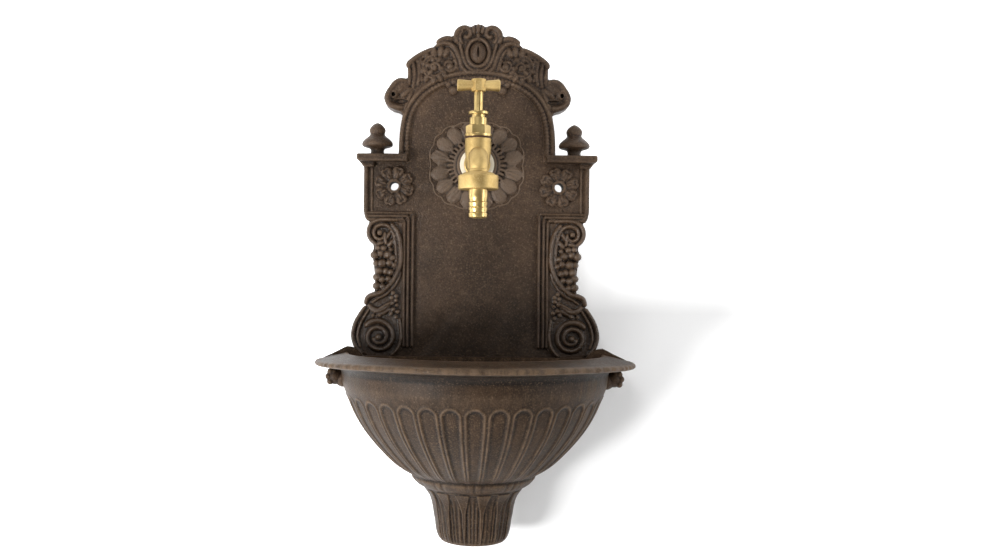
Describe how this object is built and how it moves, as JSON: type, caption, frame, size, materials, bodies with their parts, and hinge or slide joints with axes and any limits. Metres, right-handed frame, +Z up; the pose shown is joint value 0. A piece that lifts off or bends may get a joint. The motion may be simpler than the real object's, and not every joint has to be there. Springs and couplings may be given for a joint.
{
  "type": "garden fountain",
  "caption": "Wall-hung cast-iron garden fountain: a scrolled back plate, a fluted half-round basin on a short foot, and a brass screw-down bib tap with a T handle and hose tail.",
  "frame": {"origin": "on the wall plane, half-way between the two wall screws, on the rib that joins their bosses", "axes": "+X to the right as one faces the fountain, +Y into the wall, +Z up"},
  "size_m": [0.329, 0.1848, 0.5315],
  "materials": {
    "plate_iron": "dark brown patina over a rough sand-cast skin",
    "basin_iron": "lighter grey-brown patina over a rough sand-cast skin",
    "brass": "satin cast and rolled brass",
    "turned_brass": "turned and lightly polished",
    "steel": "zinc-plated",
    "rubber": "matt",
    "cream_nylon": "matt cream",
    "fibre": "red fibre sheet",
    "packing": "greased hemp cord"
  },
  "bodies": {
    "castings": {"back_plate": "plate_iron", "basin": "basin_iron", "basin_bolt_1": "steel", "basin_bolt_2": "steel", "basin_bolt_3": "steel", "basin_nut_1": "steel", "basin_nut_2": "steel", "basin_nut_3": "steel", "basin_washer_1": "steel", "basin_washer_2": "steel", "basin_washer_3": "steel", "basin_seal_1": "rubber", "basin_seal_2": "rubber", "basin_seal_3": "rubber", "drain_waste": "brass", "drain_nut": "brass", "tap_body": "brass", "tap_backnut": "brass", "back_washer": "steel", "wall_washer": "cream_nylon", "bonnet_gasket": "fibre", "bonnet": "turned_brass", "gland_packing": "packing", "gland_nut": "turned_brass"},
    "plug": {"drain_plug": "rubber"},
    "jumper": {"jumper_valve": "turned_brass", "tap_washer": "rubber", "jumper_nut": "turned_brass"},
    "spindle_set": {"spindle": "turned_brass", "t_handle": "brass", "handle_pin": "steel"},
    "tail": {"hose_tail": "turned_brass", "union_washer": "rubber"},
    "nut": {"union_nut": "brass"}
  },
  "joints": [
    {"name": "jumper_lift", "type": "slide", "parent": "castings", "child": "jumper", "axis": [0, 0, 1], "range_m": [0, 0.00763]},
    {"name": "spindle_turn", "type": "hinge", "parent": "jumper", "child": "spindle_set", "pos_m": [0, -0.072, 0.0956], "axis": [0, 0, 1], "range_deg": [0, 900]},
    {"name": "tail_drop", "type": "slide", "parent": "castings", "child": "tail", "axis": [0, 0, 1], "range_m": [-0.00705, 0]},
    {"name": "union_nut_turn", "type": "hinge", "parent": "tail", "child": "nut", "pos_m": [0, -0.104, -0.002], "axis": [0, 0, 1], "range_deg": [-1080, 0]},
    {"name": "plug_lift", "type": "slide", "parent": "castings", "child": "plug", "axis": [0, 0, 1], "range_m": [0, 0.03]}
  ],
  "couplings": [
    {"joint": "jumper_lift", "follows": "spindle_turn", "m_per_rad": 0.00047746},
    {"joint": "tail_drop", "follows": "union_nut_turn", "m_per_rad": 0.0003675}
  ]
}
